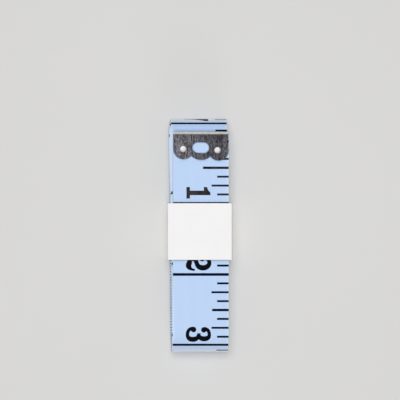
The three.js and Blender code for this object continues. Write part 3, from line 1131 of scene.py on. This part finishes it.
def turnedRivet(node, name, body, lean, finish):
    # the profile turned about its axis: place = radius * (cos, sin), height along the leaning axis
    profile = rivetProfile()
    angle = np.linspace(0, 2 * math.pi, rivet["sides"], endpoint=False)
    low, high = (np.array(corner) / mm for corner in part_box(node))
    x = (low[0] + high[0]) / 2
    y = (low[1] + high[1]) / 2
    z = flexZ + (y - flexY) * math.tan(lean) if lean else middleZ
    acrossX = profile[:, :1] * np.cos(angle)
    acrossY = profile[:, :1] * np.sin(angle)
    height = np.broadcast_to(profile[:, 1:], acrossX.shape)
    placeY = y + acrossY * math.cos(lean) - height * math.sin(lean)
    placeZ = z + acrossY * math.sin(lean) + height * math.cos(lean)
    points = np.stack([x + acrossX, placeY, placeZ], -1).reshape(-1, 3)
    quads = gridFaces(len(profile), rivet["sides"], closed=True)
    piece = newPiece(name, points, quads.tolist(), [finish])
    mergePoints(piece.data, rivet)
    smoothShade(piece.data, rivet["sharpAngle"])
    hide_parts(node)
    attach(piece, body)
    return piece


# Paper band

band = {
    "thickness": 0.2,
    "corner": 0.25,         # bend radius at the middle of the paper
    "overlap": 9.0,         # of the two ends, underneath
    "seamGap": 0.1,
    "cornerSteps": 10,
    "flatSteps": 12,
    "alongSteps": 16,
    "ease": 0.03,           # how far the upper face bows
    "easeDepth": 1.0,       # below the upper face, where that starts
    "sharpAngle": 50,
}


def bandLine(halfWidth, top):
    # the middle of the paper seen along the tape: from the inner end, once round, to the outer end
    radius = band["corner"]
    under = band["thickness"] / 2
    inner = under + band["thickness"] + band["seamGap"]
    reach = halfWidth - radius
    # centre of each corner, and the angle that it starts at, in half turns
    corners = [(reach, inner + radius, -0.5), (reach, top - radius, 0)]
    corners += [(-reach, top - radius, 0.5), (-reach, under + radius, 1)]
    angle = np.linspace(0, math.pi / 2, band["cornerSteps"] + 1)
    stops = [np.array([(-band["overlap"] / 2, inner)])]
    for x, z, start in corners:
        turned = angle + start * math.pi
        stops.append(np.stack([x + radius * np.cos(turned), z + radius * np.sin(turned)], 1))
    stops.append(np.array([(band["overlap"] / 2, under)]))
    share = np.linspace(0, 1, band["flatSteps"] + 1)[1:-1, None]
    line = [stops[0]]
    for stop in stops[1:]:
        line.append(line[-1][-1] * (1 - share) + stop[0] * share)
        line.append(stop)
    return np.vstack(line)


def paperStrip(name, finish):
    # the line is carried along the tape, and its upper face bows a little between its edges
    low, high = (np.array(corner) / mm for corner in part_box("paper_band"))
    half = band["thickness"] / 2
    line = bandLine(high[0] - half, high[2] - half)
    along = np.linspace(low[1], high[1], band["alongSteps"] + 1)
    x = np.broadcast_to(line[:, :1], (len(line), len(along)))
    share = np.linspace(-1, 1, len(along))
    onTop = np.clip((line[:, 1:] - high[2]) / band["easeDepth"] + 1, 0, 1)
    bow = band["ease"] * onTop * (1 - (line[:, :1] / high[0]) ** 2) * (share ** 2 - 1)
    z = line[:, 1:] + bow
    y = np.broadcast_to(along[None, :], x.shape)
    points = np.stack([x, y, z], -1).reshape(-1, 3)
    quads = gridFaces(len(line), len(along), closed=False)
    piece = newPiece(name, points, quads[:, ::-1].tolist(), [finish])
    smoothShade(piece.data, band["sharpAngle"])
    markRim(piece.data)
    wall = piece.modifiers.new("paperThickness", "SOLIDIFY")
    wall.thickness = band["thickness"] * mm
    wall.offset = 0
    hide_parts("paper_band")
    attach(piece, "band")
    return piece


# Making the part

def bendAtFlex(piece):
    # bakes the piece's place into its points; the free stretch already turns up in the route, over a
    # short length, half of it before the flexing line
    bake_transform(piece)


makeCamera()
makeFloor()
makeSky()
makeLamps()
print("camera, floor and light are set")

clothFinishes = [clothFinish(), grainedFinish("cutClothEdge", cutEdge)]
windingCloth = clothRibbon("tape_winding_cloth", tape["seam"], stationS[-1], clothFinishes)
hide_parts("tape_winding")
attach(windingCloth, "winding")
freeCloth = clothRibbon("tape_free_end_cloth", tape["foldInset"], tape["seam"], clothFinishes)
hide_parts("tape_free_end")
bendAtFlex(freeCloth)
print("cloth: %d and %d faces" % (len(windingCloth.data.polygons), len(freeCloth.data.polygons)))

freshInks = [inkFinish("figureInk"), inkFinish("lineInk")]
wornInks = [inkFinish("wornFigureInk"), inkFinish("wornLineInk")]
for title, scale in (("inch", inchScale), ("centimetre", centimetreScale)):
    marks = scaleMarks(scale)
    freeMarks, woundMarks = splitAtSeam(marks)
    bendAtFlex(printPiece(title + "_print_free_end", freeMarks, scale, wornInks))
    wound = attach(printPiece(title + "_print_winding", woundMarks, scale, freshInks), "winding")
    print("%s print: %d marks, %d faces when wound" % (title, len(marks), len(wound.data.polygons)))

# the second finish is a painted highlight on the folded end
clipFinishes = [nickelFinish(), grainedFinish("foldHighlight", foldHighlight)]
clipSheet("zero_end_clip", "zero_end_clip_sheet", "free_end", zeroEndY, -1, clipFinishes)
clipSheet("far_end_clip", "far_end_clip_sheet", "winding", farEndY, 1, clipFinishes)
rivetBright = grainedFinish("brightRivet", rivetMetal)
freeLean = math.radians(tape["rise"])
for end, body, lean in (("zero_end", "free_end", freeLean), ("far_end", "winding", 0)):
    for side in ("left", "right"):
        node = end + "_rivet_" + side
        turnedRivet(node, node + "_turned", body, lean, rivetBright)
print("clips and rivets are on")

paperStrip("paper_band_strip", paperFinish())
glueMesh = frame["nodes"]["band_glue"].data
glueMesh.materials.clear()
glueMesh.materials.append(grainedFinish("driedGlue", driedGlue))
print("paper band is round the winding")
